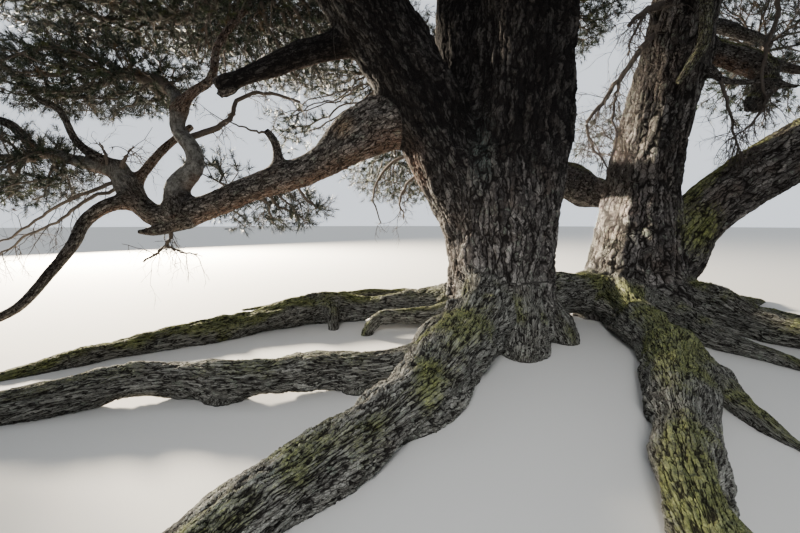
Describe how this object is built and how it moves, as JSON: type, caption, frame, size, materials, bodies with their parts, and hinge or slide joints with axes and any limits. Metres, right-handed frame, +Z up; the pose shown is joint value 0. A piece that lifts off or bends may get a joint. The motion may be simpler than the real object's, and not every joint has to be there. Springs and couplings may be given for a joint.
{
  "type": "pine tree",
  "caption": "Old open-grown pine with several stems from one root, low crooked boughs, a layered needle crown and mossy roots lying on the ground.",
  "frame": {"origin": "middle of the flat cut under the main trunk, at ground level", "axes": "+Z up, +X to the viewer's right and +Y away from the viewer, as the picture shows the tree"},
  "size_m": [14.0531, 10.496, 11.5633],
  "materials": {
    "trunk_bark": "deeply fissured grey-brown bark in long plates",
    "bough_bark": "finer dark grey bark with a red-brown underside",
    "pale_bark": "smooth pale grey bark with fine cracks",
    "root_bark": "lengthwise ridged grey bark with yellow-green moss on top",
    "high_bark": "thin flaking orange-brown bark",
    "needles": "matt dark green needle sprays"
  },
  "bodies": {
    "root": {"trunk": "trunk_bark", "stem_left": "trunk_bark", "stem_leader": "trunk_bark", "stem_middle": "trunk_bark", "stem_right": "trunk_bark", "stem_diagonal": "trunk_bark", "low_bough": "bough_bark", "s_bough": "pale_bark", "west_bough": "bough_bark", "hanging_bough": "bough_bark", "broken_bough": "bough_bark", "back_bough": "bough_bark", "mossy_stub": "bough_bark", "root_front_left": "root_bark", "root_long_left": "root_bark", "root_far_left": "root_bark", "root_thin_far": "root_bark", "root_right_front": "root_bark", "root_right_low": "root_bark", "root_right": "root_bark", "root_east": "root_bark", "root_back": "root_bark", "bough_west_roof": "high_bark", "bough_front_west": "high_bark", "bough_middle_southwest": "high_bark", "bough_middle_northwest": "high_bark", "bough_back_left": "high_bark", "bough_back_middle": "high_bark", "bough_middle_north": "high_bark", "bough_front": "high_bark", "bough_front_right": "high_bark", "bough_middle_south": "high_bark", "bough_back_right": "high_bark", "bough_middle_east": "high_bark", "bough_east_low": "high_bark", "foliage_west_roof": "needles", "foliage_west_inner": "needles", "foliage_west_mid": "needles", "foliage_west_low": "needles", "foliage_under_bough": "needles", "foliage_front_low": "needles", "foliage_back_hang": "needles", "foliage_back_left": "needles", "foliage_back_middle": "needles", "foliage_back_right": "needles", "foliage_back_low": "needles", "foliage_front_west": "needles", "foliage_front": "needles", "foliage_front_right": "needles", "foliage_east_low": "needles", "foliage_east_top": "needles", "foliage_middle_southwest": "needles", "foliage_middle_northwest": "needles", "foliage_middle_south": "needles", "foliage_middle_east": "needles", "foliage_middle_north": "needles", "foliage_top_left": "needles", "foliage_top_middle": "needles", "foliage_top_leader": "needles", "foliage_top_right": "needles"}
  },
  "joints": []
}
